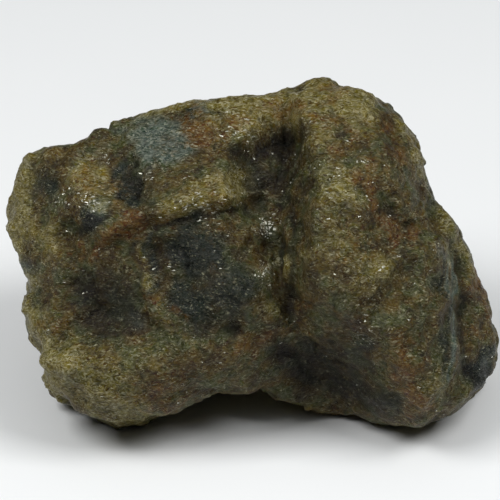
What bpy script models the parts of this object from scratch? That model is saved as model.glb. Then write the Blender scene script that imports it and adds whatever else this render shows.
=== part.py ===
"""A rough chunk of labradorite, one natural piece, standing on its own worn underside.

Shape sizes are in millimetres, and MM turns them into Blender's metres. The stone is worked out
about its heart, in the axes of its show face: across (to the right), up and out (towards whoever
looks at it). The show face is tipped back, so these axes are turned into the row's axes at the end:
+X to the right, +Y away from the show face, +Z up.
"""

import math

import bpy
import numpy as np

MM = 0.001

# How the stone stands: the show face looks up by this angle, and the heart is this far above the
# surface. HEART_PLACE puts the origin at the middle of the bounding box, at the bottom.
SHOW_TILT = math.radians(35.0)
HEART_HEIGHT = 19.0
HEART_PLACE = (-0.6, 0.9)

# The main mass swells from its outline on the show face to these depths in front and behind.
FRONT_DEPTH = 17.5
BACK_DEPTH = 15.5
ROUNDNESS = 2.5
OUTLINE_WEAR = math.radians(2.2)

# Rounding of the worn edges: where faces meet, where blocks join and round the broken-off pieces.
FACE_WEAR = 1.1
JOIN_WEAR = 0.9
LOBE_WEAR = 1.4

# The surface is found along rays from this point, which every part of the surface faces away from.
RAY_CENTRE = np.array([5.0, 1.0, -4.0])

# Corners of the main mass's outline on the show face, (across, up), anticlockwise from the right.
OUTLINE = [
    (24.5, 0.0),
    (22.5, 5.2),
    (21.8, 8.8),
    (20.9, 12.5),
    (18.7, 16.1),
    (15.8, 19.1),
    (13.2, 19.8),
    (10.5, 21.0),
    (6.0, 20.2),
    (1.2, 19.4),
    (-4.4, 18.6),
    (-11.5, 18.3),
    (-15.1, 17.2),
    (-18.2, 14.7),
    (-24.0, 12.7),
    (-27.2, 11.1),
    (-29.2, 8.1),
    (-29.8, 4.3),
    (-28.2, -1.6),
    (-27.6, -6.0),
    (-26.5, -12.6),
    (-24.6, -18.4),
    (-21.5, -20.3),
    (-18.8, -21.4),
    (-14.4, -21.5),
    (-9.2, -20.2),
    (-4.2, -17.6),
    (1.9, -17.6),
    (5.0, -19.0),
    (8.6, -20.4),
    (13.0, -20.8),
    (17.6, -21.6),
    (21.4, -21.2),
    (25.4, -18.3),
    (26.2, -10.0),
]

# The stone is three blocks grown together. The left and right ones are the main mass cut by flat
# broken faces, and the lobe behind the right-hand edge has faces alone. Each face is a point on it
# and the way it faces, (across, up, out).
LEFT_FACES = {
    "upper_slab": ((-12.5, 3.5, 13.6), (-0.13, 0.62, 1.0)),
    "front": ((-12.0, -5.0, 13.0), (-0.1, -0.06, 1.0)),
    "corner": ((-26.5, 7.0, 7.0), (-0.9, 0.45, 1.0)),
    "side": ((-25.0, -6.0, 8.5), (-0.9, 0.1, 1.0)),
    "valley": ((-1.0, 8.0, 11.0), (0.8, 0.2, 1.0)),
    "over_arch": ((0.0, -9.0, 12.0), (0.55, -0.75, 1.0)),
    "toe": ((-16.0, -17.5, 9.4), (-0.1, -0.9, 1.0)),
}
RIGHT_FACES = {
    "groove_wall": ((6.2, 2.5, 13.6), (-0.98, 0.19, 0.5)),
    "top": ((11.2, 13.0, 11.8), (0.0, 0.9, 1.0)),
    "upper": ((12.5, 2.5, 15.8), (0.26, 0.3, 1.0)),
    "lower": ((15.0, -8.0, 15.2), (0.3, -0.12, 1.0)),
    "toe": ((19.0, -15.5, 13.0), (0.3, -0.6, 1.0)),
    "undercut": ((12.9, -8.75, 15.4), (-0.59, -0.81, 0.64)),
    "shoulder": ((20.5, 8.0, 9.5), (1.1, 0.35, 1.0)),
    "edge": ((24.4, -5.0, 10.0), (1.0, 0.0, 0.45)),
}
BACK_FACES = {
    "upper": ((-4.0, 12.0, -11.0), (-0.1, 0.9, -1.0)),
    "middle": ((2.0, 0.0, -14.5), (0.15, 0.1, -1.0)),
    "left": ((-23.0, 0.0, -9.0), (-1.0, 0.1, -0.8)),
    "right": ((20.0, 2.0, -9.0), (1.0, 0.4, -0.8)),
}
LOBE_FACES = {
    "top": ((22.8, 6.4, -4.0), (0.5, 0.86, 0.0)),
    "upper_edge": ((27.4, -0.2, -4.0), (0.91, 0.41, 0.0)),
    "lower_edge": ((29.8, -8.0, -4.0), (0.97, 0.22, 0.0)),
    "end": ((30.9, -12.5, -4.0), (1.0, -0.05, 0.0)),
    "toe": ((28.4, -17.2, -4.0), (0.64, -0.77, 0.0)),
    "heel": ((23.4, -20.4, -4.0), (0.56, -0.83, 0.0)),
    "front": ((26.5, -6.0, 4.5), (1.0, 0.1, 1.0)),
    "near": ((22.0, -8.0, 6.5), (0.15, 0.0, 1.0)),
    "inner": ((17.0, 0.0, 0.0), (-1.0, 0.0, 0.0)),
    "under": ((14.0, -18.5, -4.0), (0.0, -1.0, 0.0)),
    "back": ((24.0, -4.0, -13.0), (0.4, 0.3, -1.0)),
}

# Ledges left by pieces that split off: how far the surface drops to the right of the line, over
# what width, how far the lower ground reaches, and the line's corners (across, up).
FRONT_LEDGES = {
    "seam": (1.9, 1.8, 8.0, [(-25.0, 1.0), (-21.9, 3.5), (-17.5, 0.9), (-12.5, 3.5), (-6.3, 4.7),
                             (-1.3, 5.7), (3.0, 7.0)]),
    "recess_rim": (1.0, 1.5, 9.0, [(-1.0, -13.0), (-5.6, -11.4), (-9.0, -9.0), (-11.3, -5.6),
                                   (-12.3, -1.5), (-11.9, 2.5)]),
    "upper_recess": (1.6, 2.8, 7.0, [(-1.6, 4.6), (-2.4, 8.4), (-1.6, 11.6), (1.2, 13.6),
                                     (4.4, 14.6), (7.2, 15.0)]),
    "foot_bulge": (1.1, 3.2, 7.0, [(-9.4, -9.6), (-13.8, -11.6), (-20.0, -12.4), (-25.0, -11.6)]),
    "undercut": (0.8, 2.4, 8.0, [(4.4, -4.8), (9.6, -7.2), (14.6, -10.2), (18.4, -15.4)]),
    "slab_step": (0.6, 0.8, 4.0, [(-15.0, 13.0), (-12.6, 9.6), (-13.4, 5.6), (-11.6, 3.0)]),
}
BACK_LEDGES = {
    "upper_step": (1.4, 1.2, 7.0, [(-24.0, 5.0), (-13.0, 7.0), (-3.0, 4.0), (9.0, 6.5), (19.0, 4.0)]),
    "slant_step": (1.1, 1.0, 6.0, [(-8.0, 12.0), (-5.0, 2.0), (-9.0, -8.0), (-6.0, -16.0)]),
}

# Narrow furrows (positive) and ridges (negative) of the show face: depth, width and line.
FURROWS = {
    "split": (0.7, 1.0, [(6.4, 7.0), (5.9, 3.4), (5.4, -2.5), (4.5, -8.5)]),
    "slant": (0.8, 1.3, [(14.4, 7.6), (16.6, 5.0), (20.6, 1.0)]),
    "lobe_join": (0.5, 0.9, [(24.4, 1.5), (26.1, -6.3), (26.8, -17.5)]),
    "edge_ridge": (-0.35, 0.8, [(24.2, 0.5), (24.8, -6.3), (25.0, -17.5)]),
    "seam_ridge": (-0.5, 0.8, [(-10.5, 5.8), (-6.0, 6.7), (-0.5, 6.6)]),
}
LINE_TAPER = 2.5
FACING_TAPER = 4.0

# Swellings (positive) and worn dents (negative): centre, radius and height.
LUMPS = {
    "top_ridge": ((-1.0, 15.5, 8.0), 4.0, 0.6),
    "corner_pit": ((-25.0, 8.4, 8.5), 3.0, -1.5),
    "shoulder_pit": ((-19.1, 3.4, 12.0), 2.4, -1.0),
    "shoulder_hump": ((-19.1, 6.4, 11.4), 2.4, 0.8),
    "left_hollow": ((-18.0, -5.6, 12.0), 6.0, -1.6),
    "centre_bump": ((1.9, 2.4, 11.5), 2.6, 1.2),
    "lower_bump": ((1.8, -2.8, 11.5), 2.4, 0.9),
    "left_foot": ((-16.5, -15.0, 10.0), 6.0, 1.0),
    "right_foot": ((18.5, -16.0, 12.0), 5.0, 0.6),
    "right_pit": ((16.6, 4.6, 14.0), 2.2, -0.9),
    "right_brow": ((12.6, 5.6, 14.6), 3.4, 0.7),
    "right_cheek": ((22.8, -5.8, 10.0), 1.7, 0.8),
}

# Natural unevenness of the broken surface: size of the features and their height.
SWELLS = [(9.0, 0.5), (4.4, 0.6), (2.3, 0.32)]

# Triangles of the finished solid, and of the fine surface that it is thinned from.
GRID_STEPS = 90
FARTHEST = 45.0
HALVINGS = 24
SOLID_TRIANGLES = 9000


def show_to_row(points):
    """Turns points (across, up, out) about the heart into the row's axes, in millimetres."""
    across, up, out = points.T
    y = up * math.sin(SHOW_TILT) - out * math.cos(SHOW_TILT)
    z = up * math.cos(SHOW_TILT) + out * math.sin(SHOW_TILT)
    return np.stack([across + HEART_PLACE[0], y + HEART_PLACE[1], z + HEART_HEIGHT], axis=1)


def unit(vector):
    """The vector at length 1."""
    vector = np.asarray(vector, float)
    return vector / np.linalg.norm(vector)


def soft_max(a, b, wear):
    """The larger of two fields, with the edge where they meet rounded over the width of wear."""
    share = np.clip(0.5 + 0.5 * (a - b) / wear, 0.0, 1.0)
    return b + (a - b) * share + wear * share * (1.0 - share)


def soft_min(a, b, wear):
    """The smaller of two fields, with the corner between them filled over the width of wear."""
    return -soft_max(-a, -b, wear)


def beyond(points, face):
    """How far each point lies outside a flat face: positive outside, negative inside."""
    through, facing = face
    return (points - np.array(through)) @ unit(facing)


def outline_radius(angle):
    """The outline's distance from the heart at an angle on the show face, its corners worn round."""
    corners = np.array(OUTLINE)
    at = np.arctan2(corners[:, 1], corners[:, 0])
    order = np.argsort(at)
    fine = np.linspace(-math.pi, math.pi, 1440, endpoint=False)
    radius = np.interp(fine, at[order], np.hypot(*corners[order].T), period=2.0 * math.pi)
    turn = np.minimum(fine - fine[0], 2.0 * math.pi - (fine - fine[0]))
    worn = np.exp(-0.5 * (turn / OUTLINE_WEAR) ** 2)
    spread = np.fft.ifft(np.fft.fft(radius) * np.fft.fft(worn / worn.sum())).real
    return np.interp(angle, fine, spread, period=2.0 * math.pi)


def mass_field(points):
    """The main mass: a superellipsoid over the outline, about zero on its surface."""
    across, up, out = points.T
    reach = np.hypot(across, up) / outline_radius(np.arctan2(up, across))
    depth = np.abs(out) / np.where(out > 0.0, FRONT_DEPTH, BACK_DEPTH)
    swell = (reach**ROUNDNESS + depth**ROUNDNESS) ** (1.0 / ROUNDNESS)
    return (swell - 1.0) * BACK_DEPTH


def lattice(seed):
    """A block of random numbers, the same on each run, that repeats without a join."""
    return np.random.default_rng(seed).uniform(-1.0, 1.0, (32, 32, 32))


def smooth_noise(points, size, seed):
    """Random values on a cubic lattice of this size, smoothed between its corners."""
    table = lattice(seed)
    spot = points / size + 100.0
    cell = np.floor(spot).astype(int)
    share = spot - cell
    share = share * share * share * (share * (share * 6.0 - 15.0) + 10.0)
    total = np.zeros(len(points))
    for corner in np.ndindex(2, 2, 2):
        weight = np.prod(np.where(np.array(corner) == 1, share, 1.0 - share), axis=1)
        i, j, k = ((cell + corner) % 32).T
        total += weight * table[i, j, k]
    return total


def cut_by(field, points, faces):
    """The field cut back to each flat face in turn, with worn edges."""
    for face in faces.values():
        field = soft_max(field, beyond(points, face), FACE_WEAR)
    return field


def smooth_step(share):
    """Rises smoothly from 0 to 1 as the share goes from 0 to 1."""
    share = np.clip(share, 0.0, 1.0)
    return share * share * (3.0 - 2.0 * share)


def beside(points, line):
    """How far each point is from a line drawn on the show face, positive to the line's right, and
    a weight that fades to 0 at the line's two ends."""
    spots = points[:, :2]
    nearest = np.full(len(spots), np.inf)
    side = np.zeros(len(spots))
    run = np.zeros(len(spots))
    passed = 0.0
    for start, end in zip(np.array(line[:-1]), np.array(line[1:])):
        span = end - start
        length = np.linalg.norm(span)
        share = np.clip((spots - start) @ span / length**2, 0.0, 1.0)
        gap = spots - start - share[:, None] * span
        away = np.linalg.norm(gap, axis=1)
        closer = away < nearest
        nearest = np.where(closer, away, nearest)
        side = np.where(closer, np.sign(gap[:, 0] * span[1] - gap[:, 1] * span[0]), side)
        run = np.where(closer, passed + share * length, run)
        passed += length
    return side * nearest, smooth_step(np.minimum(run, passed - run) / LINE_TAPER)


def relief(points):
    """How far the surface is worn down by the ledges, furrows, lumps and natural unevenness."""
    depth = np.zeros(len(points))
    for ledges, facing in ((FRONT_LEDGES, 1.0), (BACK_LEDGES, -1.0)):
        seen = smooth_step(facing * points[:, 2] / FACING_TAPER)
        for drop, width, reach, line in ledges.values():
            away, weight = beside(points, line)
            low = smooth_step(0.5 + away / width) * np.exp(-((np.maximum(away, 0.0) / reach) ** 2))
            depth += drop * low * weight * seen
    seen = smooth_step(points[:, 2] / FACING_TAPER)
    for deep, width, line in FURROWS.values():
        away, weight = beside(points, line)
        depth += deep * np.exp(-((away / width) ** 2)) * weight * seen
    for centre, radius, height in LUMPS.values():
        away = np.linalg.norm(points - np.array(centre), axis=1)
        depth -= height * np.exp(-((away / radius) ** 2))
    for seed, (size, height) in enumerate(SWELLS):
        depth -= height * smooth_noise(points, size, seed)
    return depth


def stone_field(points):
    """Negative inside the stone and positive outside: the left block, the right block and the lobe
    joined, with the relief of their surface, and cut flat where the stone stands."""
    mass = cut_by(mass_field(points), points, BACK_FACES)
    lobe = cut_by(np.full(len(points), -BACK_DEPTH), points, LOBE_FACES)
    left = cut_by(mass, points, LEFT_FACES)
    right = cut_by(mass, points, RIGHT_FACES)
    field = soft_min(soft_min(left, right, JOIN_WEAR), lobe, LOBE_WEAR)
    ground = (0.0, -HEART_HEIGHT * math.cos(SHOW_TILT), -HEART_HEIGHT * math.sin(SHOW_TILT))
    return np.maximum(field + relief(points), beyond(points, (ground, ground)))


def sphere_grid(steps):
    """Directions on a cube blown up to a sphere: each side is a grid of steps by steps squares.
    Returns the directions and the squares' corners, with the sides not yet merged."""
    turn = np.tan(np.linspace(-math.pi / 4.0, math.pi / 4.0, steps + 1))
    u, v = (grid.ravel() for grid in np.meshgrid(turn, turn, indexing="ij"))
    one = np.ones_like(u)
    sides = [(one, u, v), (-one, v, u), (v, one, u), (u, -one, v), (u, v, one), (v, u, -one)]
    directions = np.concatenate([np.stack(side, axis=1) for side in sides])
    directions /= np.linalg.norm(directions, axis=1)[:, None]
    row = steps + 1
    first = (np.arange(steps)[:, None] * row + np.arange(steps)[None, :]).ravel()
    square = np.stack([first, first + row, first + row + 1, first + 1], axis=1)
    squares = np.concatenate([square + side * row * row for side in range(len(sides))])
    return directions, squares


def surface_points(directions):
    """The stone's surface along each direction from the ray centre, found by halving the step."""
    near = np.zeros(len(directions))
    far = np.full(len(directions), FARTHEST)
    for _ in range(HALVINGS):
        middle = 0.5 * (near + far)
        inside = stone_field(RAY_CENTRE + directions * middle[:, None]) < 0.0
        near = np.where(inside, middle, near)
        far = np.where(inside, far, middle)
    return RAY_CENTRE + directions * (0.5 * (near + far))[:, None]


def merged(points, squares):
    """The same surface with the corners that the grid's sides share made one."""
    _, first, index = np.unique(
        np.round(points, 5), axis=0, return_index=True, return_inverse=True
    )
    return points[first], index.reshape(-1)[squares]


def stone_material():
    """Olive brown feldspar with a glassy, slightly rough surface."""
    material = bpy.data.materials.new("labradorite")
    material.use_nodes = True
    shader = material.node_tree.nodes["Principled BSDF"]
    shader.inputs["Base Color"].default_value = (0.10, 0.085, 0.045, 1.0)
    shader.inputs["Roughness"].default_value = 0.45
    shader.inputs["Metallic"].default_value = 0.0
    return material


def make_stone():
    """The stone as one closed mesh, thinned to the triangles that its shape needs."""
    directions, squares = sphere_grid(GRID_STEPS)
    points = show_to_row(surface_points(directions)) * MM
    points, squares = merged(points, squares)
    mesh = bpy.data.meshes.new("stone")
    mesh.from_pydata(points.tolist(), [], squares.tolist())
    mesh.materials.append(stone_material())
    stone = bpy.data.objects.new("stone", mesh)
    bpy.context.scene.collection.objects.link(stone)
    thin = stone.modifiers.new("thin", "DECIMATE")
    thin.ratio = SOLID_TRIANGLES / (2.0 * len(squares))
    return stone


def main():
    for old in list(bpy.data.objects):
        bpy.data.objects.remove(old)
    make_stone()


main()
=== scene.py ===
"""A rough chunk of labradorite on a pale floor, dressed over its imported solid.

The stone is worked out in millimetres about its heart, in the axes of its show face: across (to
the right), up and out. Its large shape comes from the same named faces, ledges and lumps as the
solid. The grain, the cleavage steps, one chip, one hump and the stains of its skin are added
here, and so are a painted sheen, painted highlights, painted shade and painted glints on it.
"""
import math

import bpy
import numpy as np
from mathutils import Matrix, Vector


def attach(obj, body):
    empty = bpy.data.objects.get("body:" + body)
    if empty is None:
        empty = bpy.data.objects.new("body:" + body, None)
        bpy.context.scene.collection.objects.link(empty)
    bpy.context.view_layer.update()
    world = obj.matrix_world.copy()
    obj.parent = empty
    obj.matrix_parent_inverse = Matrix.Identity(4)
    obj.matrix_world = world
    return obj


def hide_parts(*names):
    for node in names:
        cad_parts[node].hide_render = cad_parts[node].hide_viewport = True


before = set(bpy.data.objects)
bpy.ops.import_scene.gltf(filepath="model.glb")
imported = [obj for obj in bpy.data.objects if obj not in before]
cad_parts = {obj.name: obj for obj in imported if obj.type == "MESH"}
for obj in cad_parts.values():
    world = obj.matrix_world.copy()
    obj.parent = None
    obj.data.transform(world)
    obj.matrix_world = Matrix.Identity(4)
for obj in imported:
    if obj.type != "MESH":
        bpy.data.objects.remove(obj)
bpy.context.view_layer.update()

MM = 0.001

# How the stone stands: the show face looks up by this angle, and the heart is this far above the
# ground. HEART_PLACE puts the origin at the middle of the bounding box, at the bottom.
SHOW_TILT = math.radians(35.0)
HEART_HEIGHT = 19.0
HEART_PLACE = (-0.6, 0.9)

# The main mass swells from its outline on the show face to these depths in front and behind.
FRONT_DEPTH = 17.5
BACK_DEPTH = 15.5
ROUNDNESS = 2.5
OUTLINE_WEAR = math.radians(2.2)

# Rounding of the worn edges: where faces meet, where blocks join and round the broken-off pieces.
FACE_WEAR = 1.1
JOIN_WEAR = 0.9
LOBE_WEAR = 1.4

# The surface is found along rays from this point, which every part of the surface faces away from.
RAY_CENTRE = np.array([5.0, 1.0, -4.0])

# Directions in which the outline's radius is worked out before its corners are worn.
OUTLINE_ANGLES = 1440

# Corners of the main mass's outline on the show face, (across, up), anticlockwise from the right.
OUTLINE = [
    (24.5, 0.0),
    (22.5, 5.2),
    (21.8, 8.8),
    (20.9, 12.5),
    (18.7, 16.1),
    (15.8, 19.1),
    (13.2, 19.8),
    (10.5, 21.0),
    (6.0, 20.2),
    (1.2, 19.4),
    (-4.4, 18.6),
    (-11.5, 18.3),
    (-15.1, 17.2),
    (-18.2, 14.7),
    (-24.0, 12.7),
    (-27.2, 11.1),
    (-29.2, 8.1),
    (-29.8, 4.3),
    (-28.2, -1.6),
    (-27.6, -6.0),
    (-26.5, -12.6),
    (-24.6, -18.4),
    (-21.5, -20.3),
    (-18.8, -21.4),
    (-14.4, -21.5),
    (-9.2, -20.2),
    (-4.2, -17.6),
    (1.9, -17.6),
    (5.0, -19.0),
    (8.6, -20.4),
    (13.0, -20.8),
    (17.6, -21.6),
    (21.4, -21.2),
    (25.4, -18.3),
    (26.2, -10.0),
]

# The stone is three blocks grown together. The left and right ones are the main mass cut by flat
# broken faces, and the lobe behind the right-hand edge has faces alone. Each face is a point on it
# and the way it faces, (across, up, out).
LEFT_FACES = {
    "upper_slab": ((-12.5, 3.5, 13.6), (-0.13, 0.62, 1.0)),
    "front": ((-12.0, -5.0, 13.0), (-0.1, -0.06, 1.0)),
    "corner": ((-26.5, 7.0, 7.0), (-0.9, 0.45, 1.0)),
    "side": ((-25.0, -6.0, 8.5), (-0.9, 0.1, 1.0)),
    "valley": ((-1.0, 8.0, 11.0), (0.8, 0.2, 1.0)),
    "over_arch": ((0.0, -9.0, 12.0), (0.55, -0.75, 1.0)),
    "toe": ((-16.0, -17.5, 9.4), (-0.1, -0.9, 1.0)),
}
RIGHT_FACES = {
    "groove_wall": ((6.2, 2.5, 13.6), (-0.98, 0.19, 0.5)),
    "top": ((11.2, 13.0, 11.8), (0.0, 0.9, 1.0)),
    "upper": ((12.5, 2.5, 15.8), (0.26, 0.3, 1.0)),
    "lower": ((15.0, -8.0, 15.2), (0.3, -0.12, 1.0)),
    "toe": ((19.0, -15.5, 13.0), (0.3, -0.6, 1.0)),
    "undercut": ((12.9, -8.75, 15.4), (-0.59, -0.81, 0.64)),
    "shoulder": ((20.5, 8.0, 9.5), (1.1, 0.35, 1.0)),
    "edge": ((24.4, -5.0, 10.0), (1.0, 0.0, 0.45)),
}
BACK_FACES = {
    "upper": ((-4.0, 12.0, -11.0), (-0.1, 0.9, -1.0)),
    "middle": ((2.0, 0.0, -14.5), (0.15, 0.1, -1.0)),
    "left": ((-23.0, 0.0, -9.0), (-1.0, 0.1, -0.8)),
    "right": ((20.0, 2.0, -9.0), (1.0, 0.4, -0.8)),
}
LOBE_FACES = {
    "top": ((22.8, 6.4, -4.0), (0.5, 0.86, 0.0)),
    "upper_edge": ((27.4, -0.2, -4.0), (0.91, 0.41, 0.0)),
    "lower_edge": ((29.8, -8.0, -4.0), (0.97, 0.22, 0.0)),
    "end": ((30.9, -12.5, -4.0), (1.0, -0.05, 0.0)),
    "toe": ((28.4, -17.2, -4.0), (0.64, -0.77, 0.0)),
    "heel": ((23.4, -20.4, -4.0), (0.56, -0.83, 0.0)),
    "front": ((26.5, -6.0, 4.5), (1.0, 0.1, 1.0)),
    "near": ((22.0, -8.0, 6.5), (0.15, 0.0, 1.0)),
    "inner": ((17.0, 0.0, 0.0), (-1.0, 0.0, 0.0)),
    "under": ((14.0, -18.5, -4.0), (0.0, -1.0, 0.0)),
    "back": ((24.0, -4.0, -13.0), (0.4, 0.3, -1.0)),
}

# Ledges left by pieces that split off: how far the surface drops to the right of the line, over
# what width, how far the lower ground reaches, and the line's corners (across, up).
FRONT_LEDGES = {
    "seam": (1.9, 1.8, 8.0, [(-25.0, 1.0), (-21.9, 3.5), (-17.5, 0.9), (-12.5, 3.5), (-6.3, 4.7),
                             (-1.3, 5.7), (3.0, 7.0)]),
    "recess_rim": (1.0, 1.5, 9.0, [(-1.0, -13.0), (-5.6, -11.4), (-9.0, -9.0), (-11.3, -5.6),
                                   (-12.3, -1.5), (-11.9, 2.5)]),
    "upper_recess": (1.6, 2.8, 7.0, [(-1.6, 4.6), (-2.4, 8.4), (-1.6, 11.6), (1.2, 13.6),
                                     (4.4, 14.6), (7.2, 15.0)]),
    "foot_bulge": (1.1, 3.2, 7.0, [(-9.4, -9.6), (-13.8, -11.6), (-20.0, -12.4), (-25.0, -11.6)]),
    "undercut": (0.8, 2.4, 8.0, [(4.4, -4.8), (9.6, -7.2), (14.6, -10.2), (18.4, -15.4)]),
    "slab_step": (0.6, 0.8, 4.0, [(-15.0, 13.0), (-12.6, 9.6), (-13.4, 5.6), (-11.6, 3.0)]),
}
BACK_LEDGES = {
    "upper_step": (1.4, 1.2, 7.0, [(-24.0, 5.0), (-13.0, 7.0), (-3.0, 4.0), (9.0, 6.5),
                                   (19.0, 4.0)]),
    "slant_step": (1.1, 1.0, 6.0, [(-8.0, 12.0), (-5.0, 2.0), (-9.0, -8.0), (-6.0, -16.0)]),
}

# Narrow furrows (positive) and ridges (negative) of the show face: depth, width and line.
FURROWS = {
    "split": (0.7, 1.0, [(6.4, 7.0), (5.9, 3.4), (5.4, -2.5), (4.5, -8.5)]),
    "slant": (0.8, 1.3, [(14.4, 7.6), (16.6, 5.0), (20.6, 1.0)]),
    "lobe_join": (0.5, 0.9, [(24.4, 1.5), (26.1, -6.3), (26.8, -17.5)]),
    "edge_ridge": (-0.35, 0.8, [(24.2, 0.5), (24.8, -6.3), (25.0, -17.5)]),
    "seam_ridge": (-0.5, 0.8, [(-10.5, 5.8), (-6.0, 6.7), (-0.5, 6.6)]),
}
# Ledges and furrows fade out over LINE_TAPER at the ends of their lines, and everything that
# belongs to one side of the stone fades over FACING_TAPER about the middle of its depth.
LINE_TAPER = 2.5
FACING_TAPER = 4.0

# Swellings (positive) and worn dents (negative): centre, radius and height.
LUMPS = {
    "top_ridge": ((-1.0, 15.5, 8.0), 4.0, 0.6),
    "corner_pit": ((-25.0, 8.4, 8.5), 3.0, -1.5),
    "shoulder_pit": ((-19.1, 3.4, 12.0), 2.4, -1.0),
    "shoulder_hump": ((-19.1, 6.4, 11.4), 2.4, 0.8),
    "left_hollow": ((-18.0, -5.6, 12.0), 6.0, -1.6),
    "centre_bump": ((1.9, 2.4, 11.5), 2.6, 1.2),
    "lower_bump": ((1.8, -2.8, 11.5), 2.4, 0.9),
    "left_foot": ((-16.5, -15.0, 10.0), 6.0, 1.0),
    "right_foot": ((18.5, -16.0, 12.0), 5.0, 0.6),
    "right_pit": ((16.6, 4.6, 14.0), 2.2, -0.9),
    "right_brow": ((12.6, 5.6, 14.6), 3.4, 0.7),
    "right_cheek": ((22.8, -5.8, 10.0), 1.7, 0.8),
}

# Natural unevenness of the broken surface: size of the features and their height.
SWELLS = [(9.0, 0.5), (4.4, 0.6), (2.3, 0.32)]

# Random numbers come in blocks of this many each way, shifted so that every place is above 0.
LATTICE_SIDE = 32
LATTICE_SHIFT = 100.0

# Squares along each edge of the fine surface's six sides, the farthest that a ray looks, how often
# its step is halved, and the decimals to which two points count as one.
GRID_STEPS = 127
FARTHEST = 45.0
HALVINGS = 24
MERGE_DECIMALS = 5

# Fine relief of the skin, in millimetres: grain as (size, height), flat little facets as (size,
# steepest slope), and cleavage steps as (the way they face, spacing, height).
GRAIN = [(1.5, 0.12), (0.75, 0.07)]
FACETS = [(3.3, 0.10), (1.6, 0.10)]
CLEAVAGE = [((0.35, 0.8, 0.45), 1.7, 0.12), ((-0.75, 0.35, 0.5), 1.2, 0.08)]
# How far a facet's middle strays in its cell, as a share of the cell.
FACET_STRAY = 0.4
# The cleavage steps bend by CLEAVAGE_BEND of their spacing over BEND_SIZE, and they show in
# patches of the size PATCH_SIZE.
CLEAVAGE_BEND = 0.5
BEND_SIZE = 4.0
PATCH_SIZE = 6.5
# A cleavage step rises slowly and falls this many times as fast, about this middle height.
STEP_FALL = 4.0
STEP_MIDDLE = 0.4
# A chip (negative) and a hump of the upper left edge: centre (across, up, out), radius, height.
CHIPS = [((-16.3, 16.6, 4.3), 1.6, -0.6), ((-18.5, 14.4, 4.7), 1.9, 0.9)]
# The fine relief fades out towards the ground over this height, so the resting faces stay flat.
STAND_CLEAR = 0.6
# The first seed of each kind of random numbers, so that every run gives the same stone.
GRAIN_SEED = 20
FACET_SEED = 30
BEND_SEED = 40
PATCH_SEED = 50
MARK_SEED = 60
WANDER_SEED = 70
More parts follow.
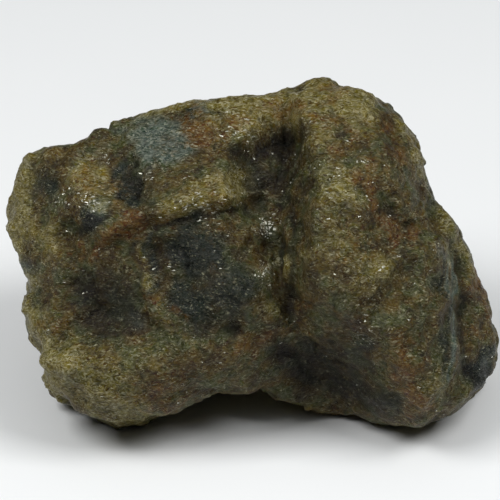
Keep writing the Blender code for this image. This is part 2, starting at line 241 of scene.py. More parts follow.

# Stains and painted light of the show face: (across, up, radius, strength) in millimetres, for each
# kind. Rust and blue are stains, the sheen is a painted reflection, the pale marks are partly
# painted highlight and the dark marks are partly painted shade.
STAINS_AND_PAINTED_LIGHT = {
    "rust": [
        (-20.0, 8.5, 2.2, 0.45), (-14.2, 2.7, 2.0, 0.7), (-17.0, 0.7, 1.2, 0.8),
        (-10.6, 4.0, 1.6, 0.7), (-6.3, 14.7, 2.8, 0.8), (-1.9, 15.6, 1.8, 0.6),
        (3.1, 16.9, 2.3, 0.6), (10.0, 19.7, 2.0, 0.5), (16.9, 15.0, 1.8, 0.5),
        (14.8, 10.0, 1.2, 0.9), (18.1, 11.2, 1.3, 0.6), (16.9, 3.5, 1.3, 0.8),
        (19.1, 1.8, 1.2, 0.8), (-20.6, -0.6, 1.5, 0.6), (-23.8, -9.4, 1.5, 0.5),
        (-10.6, -16.9, 3.3, 0.55), (-0.6, -11.9, 2.0, 0.5), (-6.9, -14.8, 1.8, 0.4),
        (19.0, -14.8, 2.3, 0.8), (20.0, -18.1, 1.8, 0.9), (28.1, -4.4, 1.5, 0.7),
        (-10.0, 12.5, 1.5, 0.3), (6.3, -6.3, 1.8, 0.4), (12.5, -8.8, 2.0, 0.4),
        (11.3, 0.0, 2.3, 0.35), (27.5, -10.0, 1.3, 0.5), (-16.3, 7.5, 1.8, 0.4),
        (-4.4, 5.6, 2.3, 0.5), (10.0, 12.5, 1.8, 0.3),
    ],
    "blue": [
        (-7.5, 12.5, 2.0, 0.4), (-12.5, 7.5, 2.3, 0.5),
        (-19.1, 3.8, 1.8, 0.8), (-25.2, 8.1, 2.3, 0.6), (-27.5, -2.5, 1.8, 0.6),
        (-25.6, -5.6, 1.8, 0.4), (-6.3, 0.0, 4.3, 0.9), (-1.9, -5.0, 4.3, 0.7),
        (-6.3, -6.3, 3.8, 0.8), (0.0, 8.8, 3.3, 0.5), (23.0, -4.4, 1.3, 0.5),
        (25.0, -10.0, 1.3, 0.5), (29.1, -15.6, 2.0, 0.9), (13.8, -11.3, 2.5, 0.4),
        (-6.9, 17.9, 3.3, 0.7), (1.9, 2.5, 1.5, 0.4), (7.5, -3.8, 1.8, 0.3),
    ],
    # Painted sheen: a pale grey-blue painted reflection, mostly on the upper left faces.
    "painted_sheen": [
        (-16.0, 14.8, 1.6, 0.5), (-18.5, 12.5, 1.5, 0.4),
        (-12.5, 14.5, 2.8, 1.0), (-9.5, 12.6, 2.6, 1.0), (-12.6, 11.6, 2.2, 0.9),
        (-6.3, 17.6, 1.6, 0.8), (-27.8, -3.0, 2.0, 0.5), (-18.6, 5.4, 1.4, 0.7),
        (-28.5, 5.5, 1.6, 0.5), (-20.0, 10.5, 1.8, 0.5), (29.5, -14.5, 1.6, 0.4),
        (-13.8, -8.2, 1.8, 0.5), (11.3, 8.8, 1.6, 0.4), (-27.5, 10.0, 1.6, 0.4),
    ],
    # Pale marks: pale straw colour, partly painted highlight on the tops, the left end and the seam
    # strip.
    "pale_and_highlight": [
        (2.5, 18.8, 3.8, 0.7), (8.8, 19.4, 3.3, 0.85), (12.5, 17.5, 2.8, 0.9),
        (-24.5, 2.0, 1.8, 0.6), (-29.0, 4.0, 1.6, 0.8), (-22.5, -13.8, 3.3, 0.55),
        (-17.5, -16.9, 4.3, 0.5), (-23.8, -17.5, 2.0, 0.6), (-1.0, 16.3, 2.2, 0.9),
        (-5.0, 15.5, 1.5, 0.7), (-19.5, 9.0, 2.2, 0.9), (5.6, 17.0, 1.8, 0.8),
        (-27.0, -4.0, 1.5, 0.7), (-26.5, -8.5, 1.5, 0.7), (7.0, 17.0, 2.0, 0.5),
        (-12.5, -13.8, 2.8, 0.2), (11.3, 7.5, 3.3, 0.6), (10.0, 1.3, 3.3, 0.4),
        (15.0, -2.5, 3.8, 0.5), (8.8, 15.0, 2.8, 0.5), (23.8, 3.8, 1.8, 0.6),
        (25.6, 0.0, 1.8, 0.7), (27.5, -2.5, 1.3, 0.6), (-28.1, 1.9, 1.8, 0.5),
        (-26.9, 11.9, 1.5, 0.4), (3.8, -1.3, 1.5, 0.6), (3.1, -6.3, 1.3, 0.5),
        (-15.0, -20.0, 3.3, 0.5), (22.5, -16.3, 1.8, 0.4), (6.3, 0.0, 1.0, 0.4),
    ],
    # Dark marks: partly dark colour and partly painted shade in the recesses, the groove, under the
    # ledges and low on the stone.
    "dark_and_painted_shade": [
        (-17.5, -5.6, 4.8, 0.8), (-20.0, -2.5, 2.5, 0.4), (4.4, 11.9, 3.0, 0.5),
        (3.1, 8.1, 3.0, 0.7), (0.6, 7.6, 2.0, 0.6), (8.8, -15.0, 4.3, 0.9),
        (6.3, -17.5, 2.5, 0.6), (13.8, -17.5, 2.8, 0.6), (-25.0, 8.4, 1.5, 0.4),
        (16.6, 4.6, 1.0, 0.5), (22.5, 5.9, 0.8, 0.6), (5.4, 4.0, 1.2, 0.6),
        (4.9, 0.0, 1.2, 0.6), (4.6, -4.0, 1.2, 0.6), (4.3, -7.5, 1.2, 0.5),
        (21.5, -9.0, 3.0, 0.35), (13.0, -6.0, 3.0, 0.3), (-3.0, -8.5, 3.0, 0.35),
        (1.5, -13.0, 3.0, 0.35),
        (26.0, -8.0, 0.9, 0.4), (26.3, -12.0, 0.9, 0.4), (25.6, -4.0, 0.9, 0.3),
        (12.5, -8.5, 2.4, 0.4), (-7.0, -15.0, 2.6, 0.35),
    ],
}
# Long stains and painted light of the show face, of the same kinds, from one (across, up) to
# another: (from, to, radius, strength).
STROKES = {
    "rust": [
        ((-19.0, -0.5), (-13.5, 3.0), 0.9, 0.7), ((-13.0, 2.4), (-8.5, 4.6), 0.6, 0.6),
        ((13.0, 9.0), (17.5, 1.0), 1.2, 0.7), ((18.0, -11.0), (21.0, -19.0), 1.0, 0.7),
        ((-12.6, -5.5), (-7.5, -8.5), 0.35, 0.6), ((4.5, 17.5), (12.5, 14.5), 0.8, 0.5),
        ((-2.0, -12.5), (5.5, -9.5), 0.8, 0.5), ((28.6, -2.0), (29.6, -8.0), 0.8, 0.6),
    ],
    "blue": [
        ((-12.0, 1.0), (-12.0, -4.5), 1.0, 0.7), ((23.6, -1.0), (23.8, -14.0), 0.7, 0.6),
        ((-15.6, 8.8), (-14.0, 6.0), 1.5, 0.9), ((27.0, -15.5), (30.0, -12.5), 1.2, 0.8),
    ],
    # Painted reflection along the ridges.
    "painted_sheen": [
        ((24.6, 0.0), (24.7, -15.0), 0.4, 0.8), ((-29.5, -2.0), (-27.0, -9.0), 0.9, 0.5),
    ],
    # Pale long marks, partly painted highlight along the seam, the top and the left and right
    # edges.
    "pale_and_highlight": [
        ((-9.5, 4.8), (-0.8, 7.9), 1.6, 1.2), ((-12.9, 0.5), (-13.0, -3.5), 0.3, 0.5),
        ((-13.0, -3.5), (-10.0, -6.8), 0.3, 0.6), ((-2.5, 18.0), (3.5, 21.0), 1.2, 0.6),
        ((24.5, 8.0), (28.5, -1.0), 0.6, 0.8), ((-30.0, 1.0), (-28.6, 10.0), 1.8, 1.0),
        ((6.0, 23.5), (15.5, 19.5), 1.2, 0.7), ((19.0, 15.5), (21.5, 8.5), 0.9, 0.6),
        ((-27.5, -7.0), (-24.0, -17.5), 1.3, 0.7), ((-13.0, 17.6), (1.0, 19.4), 1.0, 0.7),
        ((-15.0, 9.0), (-19.0, 5.0), 0.7, 0.4),
    ],
    # Dark long marks, mostly painted shade: the line under the seam's ledge, the groove and the low
    # front.
    "dark_and_painted_shade": [
        ((-11.5, 2.6), (-1.5, 5.2), 0.6, 0.45), ((5.3, 6.0), (4.6, -6.0), 0.7, 0.5),
        ((-1.6, 11.6), (6.4, 14.2), 1.5, 0.65), ((4.0, -13.0), (16.0, -19.0), 2.2, 0.9),
        ((1.5, 9.0), (7.0, 7.0), 1.6, 0.45), ((-7.5, 0.0), (-1.0, -7.0), 3.0, 0.35),
        ((8.0, 3.0), (11.0, -8.0), 2.4, 0.3), ((26.5, -14.0), (30.0, -16.5), 1.6, 0.6),
        ((25.7, 0.0), (26.0, -14.0), 0.6, 0.4), ((-14.0, 9.5), (-12.0, 4.5), 0.7, 0.5),
        ((-26.5, 6.5), (-24.0, 10.5), 1.0, 0.3), ((-20.5, 2.0), (-17.0, 4.8), 0.6, 0.7),
        ((11.5, -13.5), (14.5, -12.0), 0.9, 0.6), ((-13.6, 0.5), (-13.8, -3.5), 0.35, 0.6),
    ],
}
# Spots of the show face that glitter most: (across, up, radius, strength).
GLITTER = [
    (1.9, 2.7, 1.1, 1.3), (1.7, -2.7, 0.9, 1.2), (-6.0, 6.0, 1.9, 0.6), (-2.6, 6.3, 1.0, 0.6),
    (-19.4, 5.9, 1.2, 0.9), (-17.9, 10.6, 1.0, 0.4), (-1.3, 14.8, 1.6, 0.5), (13.8, 11.6, 0.8, 0.6),
    (4.9, 11.4, 0.8, 0.5), (-12.0, 8.7, 1.0, 0.5), (14.2, -9.6, 1.1, 0.5), (-22.5, 6.0, 1.0, 0.3),
    (11.0, 8.0, 3.5, 0.12),
]
# The unseen sides get scattered marks of the same kinds, stains and painted light: how many,
# between which two corners, how wide and how strong. SCATTER_SPREAD widens each one, as it is a
# ball and not a flat patch.
SCATTER = {"rust": 34, "blue": 22, "painted_sheen": 16, "pale_and_highlight": 30, "dark_and_painted_shade": 16}
SCATTER_BOX = ((-30.0, -20.0, -18.0), (30.0, 20.0, 4.0))
SCATTER_RADIUS = (1.5, 4.5)
SCATTER_STRENGTH = (0.3, 0.9)
SCATTER_SPREAD = 1.6
# How far the edges of the stains and the painted light wander, and over what size, in millimetres.
MARK_WANDER = 1.0
WANDER_SIZE = 2.2
# Rounds of smoothing that tell hollows from edges: small ones, and large ones.
SMALL_ROUNDS = 10
LARGE_ROUNDS = 90

# The stone's colour comes from noises of these sizes, in millimetres, laid over places that are
# themselves wobbled by this reach. TINT_SHIFT moves the tint's noises away from the grain's.
WOBBLE_NOISE = 1.6
WOBBLE_REACH = 1.2
TINT_SHIFT = (31.0, 17.0, 5.0)
GRAIN_NOISE = 0.9
FLECK_NOISE = 0.3
CLOUD_NOISE = 2.4
TINT_NOISE = 1.8
GLOOM_NOISE = 2.6
SIDE_NOISE = 4.0
STREAK_NOISE = 1.6
# Crystals are this thin and this long, in millimetres, and lie one of two ways (three angles each).
CRYSTAL_THIN = 0.14
CRYSTAL_LONG = 0.38
CRYSTAL_WAYS = ((0.3, 0.9, 0.5), (1.2, 0.2, -0.7))
# A crystal whose random number comes above this range is a flake, tilted by up to FLAKE_TILT. The
# glittering spots add up to GLITTER_LIFT to that number.
FLAKE_RANGE = (0.997, 0.9985)
GLITTER_LIFT = 0.22
FLAKE_TILT = 1.8
# Light and dark crystals add or take this tint, weighed by how light the colour is to the eye, and
# no place gets darker than the last colour.
SPECKLE_TINT = (1.0, 1.0, 0.9)
LIGHT_SHARES = (0.3, 0.6, 0.1)
DARKEST = (0.0015, 0.0012, 0.0008)
# The relief that is only shaded: its height in metres, and how much of it counts.
BUMP_HEIGHT = 0.0004
BUMP_STRENGTH = 0.9
FELDSPAR_IOR = 1.56
FELDSPAR_SPECULAR = 0.2

# The floor: half its width in metres, its roughness, and the size in millimetres of its clouds.
FLOOR_HALF = 1.5
FLOOR_ROUGHNESS = 0.9
FLOOR_NOISE = 60.0

# Two soft boxes, in metres and watts, and an even sky that is dark up to the first height and full
# from the second on, where 0 is the horizon and 1 is overhead.
BOX_PLACES = {"right_box": (0.235, -0.085, 0.40), "left_box": (-0.235, -0.085, 0.40)}
BOX_SIZE = 0.2
BOX_POWER = 1.2
BOX_COLOUR = (1.0, 1.0, 0.99)
SKY_HEIGHTS = (0.6, 1.0)
SKY_STRENGTHS = (0.0, 0.69)
SKY_COLOUR = (0.95, 0.98, 1.0)

# The photograph's view of the stone: straight at the heart, tipped down by the show face's angle.
# Distances are in metres, and the sensor's width is in millimetres.
CAMERA_DISTANCE = 0.34
CAMERA_NEAREST = 0.01
CAMERA_SENSOR = 36.0
FRAME_WIDTH = 0.0625


def show_to_row(points):
    """Turns points (across, up, out) about the heart into the row's axes, in millimetres."""
    across, up, out = points.T
    y = up * math.sin(SHOW_TILT) - out * math.cos(SHOW_TILT)
    z = up * math.cos(SHOW_TILT) + out * math.sin(SHOW_TILT)
    return np.stack([across + HEART_PLACE[0], y + HEART_PLACE[1], z + HEART_HEIGHT], axis=1)


def unit(vector):
    """The vector at length 1."""
    vector = np.asarray(vector, float)
    return vector / np.linalg.norm(vector)


def soft_max(a, b, wear):
    """The larger of two fields, with the edge where they meet rounded over the width of wear."""
    share = np.clip(0.5 + 0.5 * (a - b) / wear, 0.0, 1.0)
    return b + (a - b) * share + wear * share * (1.0 - share)


def soft_min(a, b, wear):
    """The smaller of two fields, with the corner between them filled over the width of wear."""
    return -soft_max(-a, -b, wear)


def beyond(points, face):
    """How far each point lies outside a flat face: positive outside, negative inside."""
    through, facing = face
    return (points - np.array(through)) @ unit(facing)


def outline_radius(angle):
    """The outline's distance from the heart at an angle on the show face, with worn corners."""
    corners = np.array(OUTLINE)
    at = np.arctan2(corners[:, 1], corners[:, 0])
    order = np.argsort(at)
    fine = np.linspace(-math.pi, math.pi, OUTLINE_ANGLES, endpoint=False)
    radius = np.interp(fine, at[order], np.hypot(*corners[order].T), period=2.0 * math.pi)
    turn = np.minimum(fine - fine[0], 2.0 * math.pi - (fine - fine[0]))
    worn = np.exp(-0.5 * (turn / OUTLINE_WEAR) ** 2)
    spread = np.fft.ifft(np.fft.fft(radius) * np.fft.fft(worn / worn.sum())).real
    return np.interp(angle, fine, spread, period=2.0 * math.pi)


def mass_field(points):
    """The main mass: a superellipsoid over the outline, about zero on its surface."""
    across, up, out = points.T
    reach = np.hypot(across, up) / outline_radius(np.arctan2(up, across))
    depth = np.abs(out) / np.where(out > 0.0, FRONT_DEPTH, BACK_DEPTH)
    swell = (reach**ROUNDNESS + depth**ROUNDNESS) ** (1.0 / ROUNDNESS)
    return (swell - 1.0) * BACK_DEPTH


def lattice(seed):
    """A block of random numbers, the same on each run, that repeats without a join."""
    return np.random.default_rng(seed).uniform(-1.0, 1.0, (LATTICE_SIDE,) * 3)


def smooth_noise(points, size, seed):
    """Random values on a cubic lattice of this size, smoothed between its corners."""
    table = lattice(seed)
    spot = points / size + LATTICE_SHIFT
    cell = np.floor(spot).astype(int)
    share = spot - cell
    share = share * share * share * (share * (share * 6.0 - 15.0) + 10.0)
    total = np.zeros(len(points))
    for corner in np.ndindex(2, 2, 2):
        weight = np.prod(np.where(np.array(corner) == 1, share, 1.0 - share), axis=1)
        i, j, k = ((cell + corner) % LATTICE_SIDE).T
        total += weight * table[i, j, k]
    return total


def cut_by(field, points, faces):
    """The field cut back to each flat face in turn, with worn edges."""
    for face in faces.values():
        field = soft_max(field, beyond(points, face), FACE_WEAR)
    return field


def smooth_step(share):
    """Rises smoothly from 0 to 1 as the share goes from 0 to 1."""
    share = np.clip(share, 0.0, 1.0)
    return share * share * (3.0 - 2.0 * share)


def beside(points, line):
    """How far each point is from a line drawn on the show face, positive to the line's right, and
    a weight that fades to 0 at the line's two ends."""
    spots = points[:, :2]
    nearest = np.full(len(spots), np.inf)
    side = np.zeros(len(spots))
    run = np.zeros(len(spots))
    passed = 0.0
    for start, end in zip(np.array(line[:-1]), np.array(line[1:])):
        span = end - start
        length = np.linalg.norm(span)
        share = np.clip((spots - start) @ span / length**2, 0.0, 1.0)
        gap = spots - start - share[:, None] * span
        away = np.linalg.norm(gap, axis=1)
        closer = away < nearest
        nearest = np.where(closer, away, nearest)
        side = np.where(closer, np.sign(gap[:, 0] * span[1] - gap[:, 1] * span[0]), side)
        run = np.where(closer, passed + share * length, run)
        passed += length
    return side * nearest, smooth_step(np.minimum(run, passed - run) / LINE_TAPER)


def relief(points):
    """How far the surface is worn down by the ledges, furrows, lumps and natural unevenness."""
    depth = np.zeros(len(points))
    for ledges, facing in ((FRONT_LEDGES, 1.0), (BACK_LEDGES, -1.0)):
        seen = smooth_step(facing * points[:, 2] / FACING_TAPER)
        for drop, width, reach, line in ledges.values():
            away, weight = beside(points, line)
            low = smooth_step(0.5 + away / width) * np.exp(-((np.maximum(away, 0.0) / reach) ** 2))
            depth += drop * low * weight * seen
    seen = smooth_step(points[:, 2] / FACING_TAPER)
    for deep, width, line in FURROWS.values():
        away, weight = beside(points, line)
        depth += deep * np.exp(-((away / width) ** 2)) * weight * seen
    for centre, radius, height in LUMPS.values():
        away = np.linalg.norm(points - np.array(centre), axis=1)
        depth -= height * np.exp(-((away / radius) ** 2))
    for seed, (size, height) in enumerate(SWELLS):
        depth -= height * smooth_noise(points, size, seed)
    return depth


def stone_field(points):
    """Negative inside the stone and positive outside: the left block, the right block and the lobe
    joined, with the relief of their surface, and cut flat where the stone stands."""
    mass = cut_by(mass_field(points), points, BACK_FACES)
    lobe = cut_by(np.full(len(points), -BACK_DEPTH), points, LOBE_FACES)
    left = cut_by(mass, points, LEFT_FACES)
    right = cut_by(mass, points, RIGHT_FACES)
    field = soft_min(soft_min(left, right, JOIN_WEAR), lobe, LOBE_WEAR)
    ground = (0.0, -HEART_HEIGHT * math.cos(SHOW_TILT), -HEART_HEIGHT * math.sin(SHOW_TILT))
    return np.maximum(field + relief(points), beyond(points, (ground, ground)))


def sphere_grid(steps):
    """Directions on a cube blown up to a sphere: each side is a grid of steps by steps squares.
    Returns the directions and the squares' corners, with the sides not yet merged."""
    turn = np.tan(np.linspace(-math.pi / 4.0, math.pi / 4.0, steps + 1))
    u, v = (grid.ravel() for grid in np.meshgrid(turn, turn, indexing="ij"))
    one = np.ones_like(u)
    sides = [(one, u, v), (-one, v, u), (v, one, u), (u, -one, v), (u, v, one), (v, u, -one)]
    directions = np.concatenate([np.stack(side, axis=1) for side in sides])
    directions /= np.linalg.norm(directions, axis=1)[:, None]
    row = steps + 1
    first = (np.arange(steps)[:, None] * row + np.arange(steps)[None, :]).ravel()
    square = np.stack([first, first + row, first + row + 1, first + 1], axis=1)
    squares = np.concatenate([square + side * row * row for side in range(len(sides))])
    return directions, squares


def surface_points(directions):
    """The stone's surface along each direction from the ray centre, found by halving the step."""
    near = np.zeros(len(directions))
    far = np.full(len(directions), FARTHEST)
    for _ in range(HALVINGS):
        middle = 0.5 * (near + far)
        inside = stone_field(RAY_CENTRE + directions * middle[:, None]) < 0.0
        near = np.where(inside, middle, near)
        far = np.where(inside, far, middle)
    return RAY_CENTRE + directions * (0.5 * (near + far))[:, None]


def fine_relief(points):
    """The fine relief of the skin at each point, in millimetres along its normal: sums of smooth
    noise for the grain, tilted little facets, saw-tooth steps along the cleavage, and the chip and
    hump, each its height times e to the minus square of (distance over radius)."""
    rise = np.zeros(len(points))
    for n, (size, height) in enumerate(GRAIN):
        rise += height * smooth_noise(points, size, GRAIN_SEED + n)
    for n, (size, slope) in enumerate(FACETS):
        rise += slope * tilted_cells(points, size, FACET_SEED + n)
    for n, (facing, spacing, height) in enumerate(CLEAVAGE):
        bend = CLEAVAGE_BEND * smooth_noise(points, BEND_SIZE, BEND_SEED + n)
        along = points @ unit(facing) / spacing + bend
        saw = along - np.floor(along)
        step = np.minimum(saw, STEP_FALL * (1.0 - saw)) - STEP_MIDDLE
        where = smooth_step(0.5 + 1.5 * smooth_noise(points, PATCH_SIZE, PATCH_SEED + n))
        rise += height * step * where
    for centre, radius, height in CHIPS:
        away = np.linalg.norm(points - np.array(centre), axis=1)
        rise += height * np.exp(-((away / radius) ** 2))
    return rise


def tilted_cells(points, size, seed):
    """Each point belongs to the nearest of a cloud of jittered seeds; its value is its offset from
    that seed along the seed's own random slope, so that each cell is one flat tilted facet."""
    jitter = [lattice(seed * 10 + axis) for axis in range(3)]
    slopes = [lattice(seed * 10 + axis) for axis in range(3, 6)]
    spot = points / size + LATTICE_SHIFT
    cell = np.floor(spot).astype(int)
    nearest = np.full(len(points), np.inf)
    value = np.zeros(len(points))
    for corner in np.ndindex(3, 3, 3):
        near_cell = cell + np.array(corner) - 1
        i, j, k = (near_cell % LATTICE_SIDE).T
        stray = np.stack([table[i, j, k] for table in jitter], axis=1)
        offset = spot - (near_cell + 0.5 + FACET_STRAY * stray)
        away = np.einsum("ij,ij->i", offset, offset)
        tilt = np.stack([table[i, j, k] for table in slopes], axis=1)
        closer = away < nearest
        nearest = np.where(closer, away, nearest)
        value = np.where(closer, np.einsum("ij,ij->i", offset, tilt) * size, value)
    return value


def shown(points):
    """1 in front of the heart and 0 behind it, smooth over FACING_TAPER between."""
    return smooth_step(0.5 + points[:, 2] / FACING_TAPER)


def strokes(points, lines):
    """The strongest of the soft long marks, stains and painted light alike, that are drawn on the
    show
    face: each fades with the distance from the straight line between its two ends."""
    facing = shown(points)
    weight = np.zeros(len(points))
    for start, end, radius, strength in lines:
        run = np.subtract(end, start)
        offset = points[:, :2] - start
        share = np.clip(offset @ run / (run @ run), 0.0, 1.0)
        away = np.linalg.norm(offset - share[:, None] * run, axis=1)
        weight = np.maximum(weight, strength * np.exp(-((away / radius) ** 2)) * facing)
    return weight


def patches(points, spots):
    """The strongest of the soft round patches that are listed for the show face: each fades
    with the distance from its middle."""
    facing = shown(points)
    weight = np.zeros(len(points))
    for across, up, radius, strength in spots:
        away = np.hypot(points[:, 0] - across, points[:, 1] - up)
        weight = np.maximum(weight, strength * np.exp(-((away / radius) ** 2)) * facing)
    return weight


def mark_weight(points, kind, seed):
    """How strongly each kind of mark (stains and painted light alike) covers each point: patches
    listed for the show face, and patches scattered at random on the unseen sides."""
    ragged = [smooth_noise(points, WANDER_SIZE, WANDER_SEED + axis) for axis in range(3)]
    points = points + MARK_WANDER * np.stack(ragged, axis=1)
    weight = np.maximum(patches(points, STAINS_AND_PAINTED_LIGHT[kind]), strokes(points, STROKES[kind]))
    unseen = 1.0 - shown(points)
    random = np.random.default_rng(seed)
    for _ in range(SCATTER[kind]):
        centre = random.uniform(*SCATTER_BOX)
        radius = random.uniform(*SCATTER_RADIUS)
        strength = random.uniform(*SCATTER_STRENGTH)
        away = np.linalg.norm(points - centre, axis=1)
        patch = strength * np.exp(-((away / (SCATTER_SPREAD * radius)) ** 2)) * unseen
        weight = np.maximum(weight, patch)
    return weight


def hollows(mesh, places, normals, rounds):
    """How far each point lies under the smoothed surface along its normal, in millimetres: above 0
    in hollows and below 0 on edges. Each round puts every point in the middle of its neighbours."""
    ends = np.zeros(2 * len(mesh.edges), int)
    mesh.edges.foreach_get("vertices", ends)
    first, second = ends.reshape(-1, 2).T
    count = np.bincount(first, minlength=len(places)) + np.bincount(second, minlength=len(places))
    smooth = places.copy()
    for _ in range(rounds):
        total = np.stack(
            [
                np.bincount(first, smooth[second, axis], len(places))
                + np.bincount(second, smooth[first, axis], len(places))
                for axis in range(3)
            ],
            axis=1,
        )
        smooth = total / count[:, None]
    return np.einsum("ij,ij->i", smooth - places, normals)


def make_stone(finish):
    """The stone's fine surface: rays through a cube-sphere grid meet the stone's field, then each
    point moves along its normal by the fine relief. Returns the finished object."""
    directions, squares = sphere_grid(GRID_STEPS)
    points = surface_points(directions)
    _, first, index = np.unique(
        np.round(points, MERGE_DECIMALS), axis=0, return_index=True, return_inverse=True
    )
    points = points[first]
    squares = index.reshape(-1)[squares]
    mesh = bpy.data.meshes.new("stone_skin")
    mesh.from_pydata((show_to_row(points) * MM).tolist(), [], squares.tolist())
    normals = np.zeros(len(points) * 3)
    mesh.vertex_normals.foreach_get("vector", normals)
    normals = normals.reshape(-1, 3)
    places = show_to_row(points)
    rise = fine_relief(points) * smooth_step(places[:, 2] / STAND_CLEAR)
    places = places + normals * rise[:, None]
    places[:, 2] = np.maximum(places[:, 2], 0.0)
    mesh.vertices.foreach_set("co", (places * MM).ravel())
    weights = {kind: mark_weight(points, kind, MARK_SEED + n) for n, kind in enumerate(STAINS_AND_PAINTED_LIGHT)}
    # The crease and hollow measures drive painted shade in creases and hollows and painted
    # highlights on edges.
    weights["crease"] = hollows(mesh, places, normals, SMALL_ROUNDS)
    weights["hollow"] = hollows(mesh, places, normals, LARGE_ROUNDS)
    weights["glitter"] = patches(points, GLITTER)
    for name, values in weights.items():
        layer = mesh.attributes.new(name, "FLOAT", "POINT")
        layer.data.foreach_set("value", values)
    mesh.polygons.foreach_set("use_smooth", np.ones(len(squares), bool))
    mesh.materials.append(finish)
    mesh.update()
    stone = bpy.data.objects.new("stone_skin", mesh)
    bpy.context.scene.collection.objects.link(stone)
    return stone


class Wire:
    """One output socket of a finish's nodes. Sums and products on it add Math nodes."""

    def __init__(self, finish, socket):
        self.finish = finish
        self.socket = socket

    def maths(self, operation, *terms):
        numbers = dict(enumerate(terms))
        return self.finish.node("ShaderNodeMath", {"operation": operation}, numbers)

    def __add__(self, other):
        return self.maths("ADD", self, other)

    __radd__ = __add__

    def __sub__(self, other):
        return self.maths("SUBTRACT", self, other)

    def __rsub__(self, other):
        return self.maths("SUBTRACT", other, self)

    def __mul__(self, other):
        return self.maths("MULTIPLY", self, other)

    __rmul__ = __mul__

    def between(self, low, high):
        """0 where this is low and 1 where it is high, smooth between. Where low is the greater
        number, it falls as this grows."""
        settings = {"interpolation_type": "SMOOTHSTEP"}
        return self.finish.node(
            "ShaderNodeMapRange", settings, {"Value": self, "From Min": low, "From Max": high}
        )


class Finish:
    """A material whose nodes are added one call at a time."""

    def __init__(self, name):
        self.material = bpy.data.materials.new(name)
        self.material.use_nodes = True
        self.tree = self.material.node_tree
        self.shader = self.tree.nodes["Principled BSDF"]

    def feed(self, socket, value):
        """Links a wire to a socket, or sets the socket's own value."""
        if isinstance(value, Wire):
            self.tree.links.new(value.socket, socket)
        else:
            socket.default_value = value

    def node(self, kind, settings, sockets, output=0):
        """Adds a node of this kind: its settings first, then its sockets, and gives one output."""
        node = self.tree.nodes.new(kind)
        for name, value in settings.items():
            setattr(node, name, value)
        for name, value in sockets.items():
            self.feed(node.inputs[name], value)
        return Wire(self, node.outputs[output])

    def mix(self, share, first, second):
        """One colour turned into another by a share from 0 to 1."""
        sockets = {0: share, 6: first, 7: second}
        return self.node("ShaderNodeMix", {"data_type": "RGBA"}, sockets, 2)

    def vector(self, operation, first, second=None, scale=None, output=0):
        """A Vector Math node: output 0 is a vector and 1 a number."""
        sockets = {0: first}
        if second is not None:
            sockets[1] = second
        if scale is not None:
            sockets["Scale"] = scale
        return self.node("ShaderNodeVectorMath", {"operation": operation}, sockets, output)

    def noise(self, place, size, detail, roughness=0.6, output=0):
        """Noise whose largest features are about this size: output 0 is a number, 1 a colour."""
        sockets = {"Vector": place, "Scale": 1.0 / size, "Detail": detail, "Roughness": roughness}
        return self.node("ShaderNodeTexNoise", {}, sockets, output)

    def cells(self, place):
        """A random colour for each cell, where a cell is about 1 across in these places."""
        return self.node("ShaderNodeTexVoronoi", {}, {"Vector": place, "Scale": 1.0}, 1)

    def named(self, name):
        """A value stored on the mesh."""
        return self.node("ShaderNodeAttribute", {"attribute_name": name}, {}, 2)

    def drawn(self, place, turn):
        """Places drawn out one way, so that a feature of size 1 there is as thin and as long as a
        crystal, turned by three angles."""
        scale = (1.0 / CRYSTAL_LONG, 1.0 / CRYSTAL_THIN, 1.0 / CRYSTAL_THIN)
        sockets = {"Vector": place, "Rotation": turn, "Scale": scale}
        return self.node("ShaderNodeMapping", {}, sockets)

    def parts(self, colour):
        """The three numbers that a colour holds."""
        return [self.node("ShaderNodeSeparateColor", {}, {0: colour}, part) for part in range(3)]


def rgb(red, green, blue):
    """A colour from its screen values of 0 to 255, as the linear light that shaders use."""
    shares = np.array([red, green, blue]) / 255.0
    linear = np.where(shares <= 0.04045, shares / 12.92, ((shares + 0.055) / 1.055) ** 2.4)
    return (*linear.tolist(), 1.0)


GREY_GREEN = rgb(86, 89, 54)
OLIVE = rgb(98, 82, 32)
UMBER = rgb(60, 45, 16)
SLATE_BLUE = rgb(29, 42, 38)
# Grey-blue of the painted sheen, a painted reflection.
PAINTED_SHEEN = rgb(104, 120, 112)
# Straw: a pale colour that also serves as painted highlight.
STRAW_AND_HIGHLIGHT = rgb(143, 133, 78)
RUST = rgb(114, 79, 22)
# Near black for the dark marks and the painted shade.
DARK_AND_SHADE_COLOUR = rgb(11, 10, 8)
FROST = rgb(172, 170, 138)
# Near-white of the flakes: a painted glint.
PAINTED_GLINT = rgb(235, 235, 220)
CARD_GREY = rgb(233, 235, 236)
CARD_WHITE = rgb(238, 239, 240)


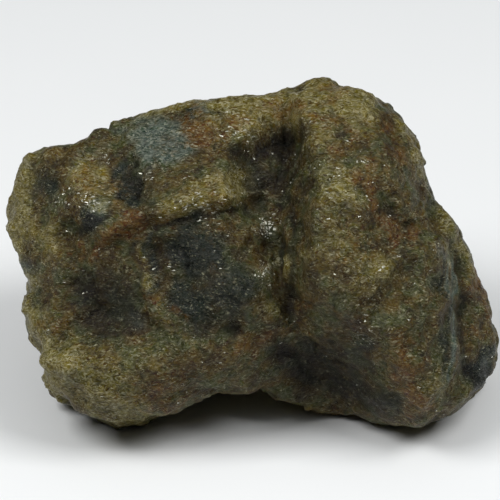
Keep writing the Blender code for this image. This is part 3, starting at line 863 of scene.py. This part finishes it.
def labradorite():
    """Glassy broken feldspar: olive, grey-green and umber grain with rust and slate-blue stains, a
    painted grey-blue sheen, pale marks that are partly painted highlight and dark marks that are
    partly painted shade. Over it come drawn-out crystals in two layers of cleavage, a grey speckle
    of light and dark crystals, frosted crystal ends, painted highlights on edges, painted shade in
    hollows and creases, and tiny flakes that face all ways, painted near-white as glints."""
    skin = Finish("rough_labradorite")
    here = skin.node("ShaderNodeTexCoord", {}, {}, 3)
    place = skin.vector("SCALE", here, scale=1.0 / MM)
    wobble = skin.noise(place, WOBBLE_NOISE, 2.0, 0.6, 1)
    bent = skin.vector("ADD", place, skin.vector("SCALE", wobble, scale=WOBBLE_REACH))
    shifted = skin.vector("ADD", bent, TINT_SHIFT)
    grain = skin.noise(bent, GRAIN_NOISE, 6.0, 0.75)
    fleck = skin.noise(bent, FLECK_NOISE, 3.0, 0.7)
    cloud = skin.noise(bent, CLOUD_NOISE, 4.0, 0.6)
    tint = skin.noise(shifted, TINT_NOISE, 4.0, 0.65)
    gloom = skin.noise(shifted, GLOOM_NOISE, 5.0, 0.7)
    side = skin.noise(place, SIDE_NOISE, 1.0).between(0.44, 0.56)
    ways = [skin.drawn(bent, turn) for turn in CRYSTAL_WAYS]
    crystal = skin.mix(side, *[skin.cells(way) for way in ways])
    bright, warm, rare = skin.parts(crystal)
    streaky = skin.mix(side, *[skin.noise(way, STREAK_NOISE, 2.0, 0.5) for way in ways])
    streaks = skin.parts(streaky)[0]

    # Each mark's weight, stain or painted light, is made ragged by the noises, and then set between
    # its two limits.
    ragged = grain - 0.5
    patchy = tint - 0.5
    # Painted highlight on edges and painted shade in hollows, both from the hollow measure.
    edge = skin.named("hollow").between(0.0, -0.35)
    pit = skin.named("hollow").between(0.0, 0.45)
    rust = (skin.named("rust") + 1.2 * ragged + 1.4 * patchy).between(0.05, 0.8)
    blue = (skin.named("blue") + 0.3 * ragged - 0.5 * patchy).between(0.12, 0.7)
    painted_sheen = (skin.named("painted_sheen") + 0.4 * ragged).between(0.12, 0.8)
    pale_and_highlight = (skin.named("pale_and_highlight") + 0.5 * ragged + 0.2 * edge).between(0.15, 0.85)
    dark_and_painted_shade = (skin.named("dark_and_painted_shade") + 0.6 * ragged + 0.6 * patchy + 0.25 * pit).between(0.1, 0.85)

    # The body colours first, and then the stains and the painted sheen, highlight and shade over
    # them, one kind after another.
    colour = skin.mix(cloud.between(0.4, 0.6), GREY_GREEN, OLIVE)
    colour = skin.mix(0.8 * gloom.between(0.47, 0.62), colour, UMBER)
    colour = skin.mix(0.9 * blue, colour, SLATE_BLUE)
    # The painted sheen: a painted reflection in grey-blue.
    colour = skin.mix(0.75 * painted_sheen, colour, PAINTED_SHEEN)
    # Pale straw marks, partly painted highlight.
    colour = skin.mix(0.85 * pale_and_highlight, colour, STRAW_AND_HIGHLIGHT)
    amber = rust * (0.48 + 0.35 * warm) + 0.1 * warm.between(0.7, 1.0)
    colour = skin.mix(amber, colour, RUST)
    # Dark marks, partly painted shade.
    colour = skin.mix(0.35 * dark_and_painted_shade, colour, DARK_AND_SHADE_COLOUR)

    # Light and shade of the grain, painted shade in the creases and under the dark marks, the grey
    # speckle of single crystals, and their frosted ends.
    shade = 2.3 * grain + 0.7 * streaks - 0.35 * skin.named("crease") - 0.72
    # The dark marks darken the grain as painted shade too.
    shade = shade * (1.0 - 0.66 * dark_and_painted_shade)
    colour = skin.vector("SCALE", colour, scale=0.8 * shade)
    sparkle = (0.1 + 1.45 * bright) * (2.1 * fleck)
    lightness = skin.vector("DOT_PRODUCT", colour, LIGHT_SHARES, output=1)
    speckle = skin.vector("SCALE", SPECKLE_TINT, scale=(sparkle - 0.85) * lightness)
    colour = skin.vector("MAXIMUM", skin.vector("ADD", colour, speckle), DARKEST)
    frost = bright.between(0.72, 1.0) * fleck.between(0.4, 0.65) * grain.between(0.3, 0.65)
    colour = skin.mix(0.7 * frost * (1.0 - 0.6 * dark_and_painted_shade), colour, FROST)

    # Flakes are rare crystals with a flat face tilted at random, smoother and brighter than others:
    # their near-white colour is a painted glint.
    flake = (rare + GLITTER_LIFT * skin.named("glitter")).between(*FLAKE_RANGE)
    facing = skin.node("ShaderNodeNewGeometry", {}, {}, 1)
    tilt = skin.vector("SUBTRACT", crystal, (0.5, 0.5, 0.5))
    tilted = skin.vector("ADD", facing, skin.vector("SCALE", tilt, scale=FLAKE_TILT))
    flat = skin.vector("NORMALIZE", tilted)
    sockets = {0: flake, 4: facing, 5: flat}
    flake_normal = skin.node("ShaderNodeMix", {"data_type": "VECTOR"}, sockets, 1)
    height = 0.9 * grain + 0.3 * streaks + 0.25 * fleck + 0.1 * bright
    sockets = {"Strength": BUMP_STRENGTH, "Distance": BUMP_HEIGHT}
    sockets.update({"Height": height, "Normal": flake_normal})
    bump = skin.node("ShaderNodeBump", {}, sockets)
    # Painted glint: the flakes are coloured near-white.
    colour = skin.mix(0.85 * flake, colour, PAINTED_GLINT)
    skin.feed(skin.shader.inputs["Base Color"], colour)
    skin.feed(skin.shader.inputs["Metallic"], 0.5 * flake)
    rough = 0.5 - 0.25 * rare - 0.14 * blue - 0.2 * flake
    skin.feed(skin.shader.inputs["Roughness"], rough)
    skin.feed(skin.shader.inputs["Normal"], bump)
    skin.feed(skin.shader.inputs["IOR"], FELDSPAR_IOR)
    skin.feed(skin.shader.inputs["Specular IOR Level"], FELDSPAR_SPECULAR)
    return skin.material


def pale_card():
    """Matt off-white card for the floor, with faint wide clouds."""
    card = Finish("pale_card")
    place = card.node("ShaderNodeTexCoord", {}, {}, 3)
    tone = card.noise(card.vector("SCALE", place, scale=1.0 / MM), FLOOR_NOISE, 2.0)
    card.feed(card.shader.inputs["Base Color"], card.mix(tone, CARD_GREY, CARD_WHITE))
    card.feed(card.shader.inputs["Roughness"], FLOOR_ROUGHNESS)
    return card.material


def make_floor():
    """A flat square of card: z is 0 all over."""
    mesh = bpy.data.meshes.new("floor")
    turns = ((-1, -1), (1, -1), (1, 1), (-1, 1))
    corners = [(x * FLOOR_HALF, y * FLOOR_HALF, 0.0) for x, y in turns]
    mesh.from_pydata(corners, [], [(0, 1, 2, 3)])
    mesh.materials.append(pale_card())
    floor = bpy.data.objects.new("floor", mesh)
    bpy.context.scene.collection.objects.link(floor)
    return floor


def soft_box(name, place, target):
    """A square soft light, turned towards its target."""
    lamp = bpy.data.lights.new(name, "AREA")
    lamp.size = BOX_SIZE
    lamp.energy = BOX_POWER
    lamp.color = BOX_COLOUR
    holder = bpy.data.objects.new(name, lamp)
    bpy.context.scene.collection.objects.link(holder)
    holder.location = place
    holder.rotation_euler = (target - Vector(place)).to_track_quat("-Z", "Y").to_euler()


def set_sky():
    """A dome of light whose strength rises smoothly from the lower height to the upper one."""
    world = bpy.data.worlds.new("studio")
    world.use_nodes = True
    nodes = world.node_tree.nodes
    sky = nodes["Background"]
    sky.inputs["Color"].default_value = (*SKY_COLOUR, 1.0)
    where = nodes.new("ShaderNodeTexCoord")
    parts = nodes.new("ShaderNodeSeparateXYZ")
    rise = nodes.new("ShaderNodeMapRange")
    rise.interpolation_type = "SMOOTHSTEP"
    for way, limits in (("From", SKY_HEIGHTS), ("To", SKY_STRENGTHS)):
        rise.inputs[f"{way} Min"].default_value, rise.inputs[f"{way} Max"].default_value = limits
    world.node_tree.links.new(where.outputs["Generated"], parts.inputs["Vector"])
    world.node_tree.links.new(parts.outputs["Z"], rise.inputs["Value"])
    world.node_tree.links.new(rise.outputs["Result"], sky.inputs["Strength"])
    bpy.context.scene.world = world


def set_camera(heart):
    """The camera looks straight at the heart, square to the show face, so that the photograph's
    frame is FRAME_WIDTH across there."""
    lens = bpy.data.cameras.new("camera")
    lens.sensor_width = CAMERA_SENSOR
    lens.lens = CAMERA_SENSOR * CAMERA_DISTANCE / FRAME_WIDTH
    lens.clip_start = CAMERA_NEAREST
    camera = bpy.data.objects.new("camera", lens)
    bpy.context.scene.collection.objects.link(camera)
    away = Vector((0.0, -math.cos(SHOW_TILT), math.sin(SHOW_TILT)))
    camera.location = heart + away * CAMERA_DISTANCE
    camera.rotation_euler = (-away).to_track_quat("-Z", "Y").to_euler()
    bpy.context.scene.camera = camera


stone = make_stone(labradorite())
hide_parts("stone")
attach(stone, "root")

make_floor()
heart = Vector((HEART_PLACE[0], HEART_PLACE[1], HEART_HEIGHT)) * MM
set_camera(heart)
set_sky()
for name, place in BOX_PLACES.items():
    soft_box(name, place, heart)
bpy.context.scene.view_settings.view_transform = "Standard"
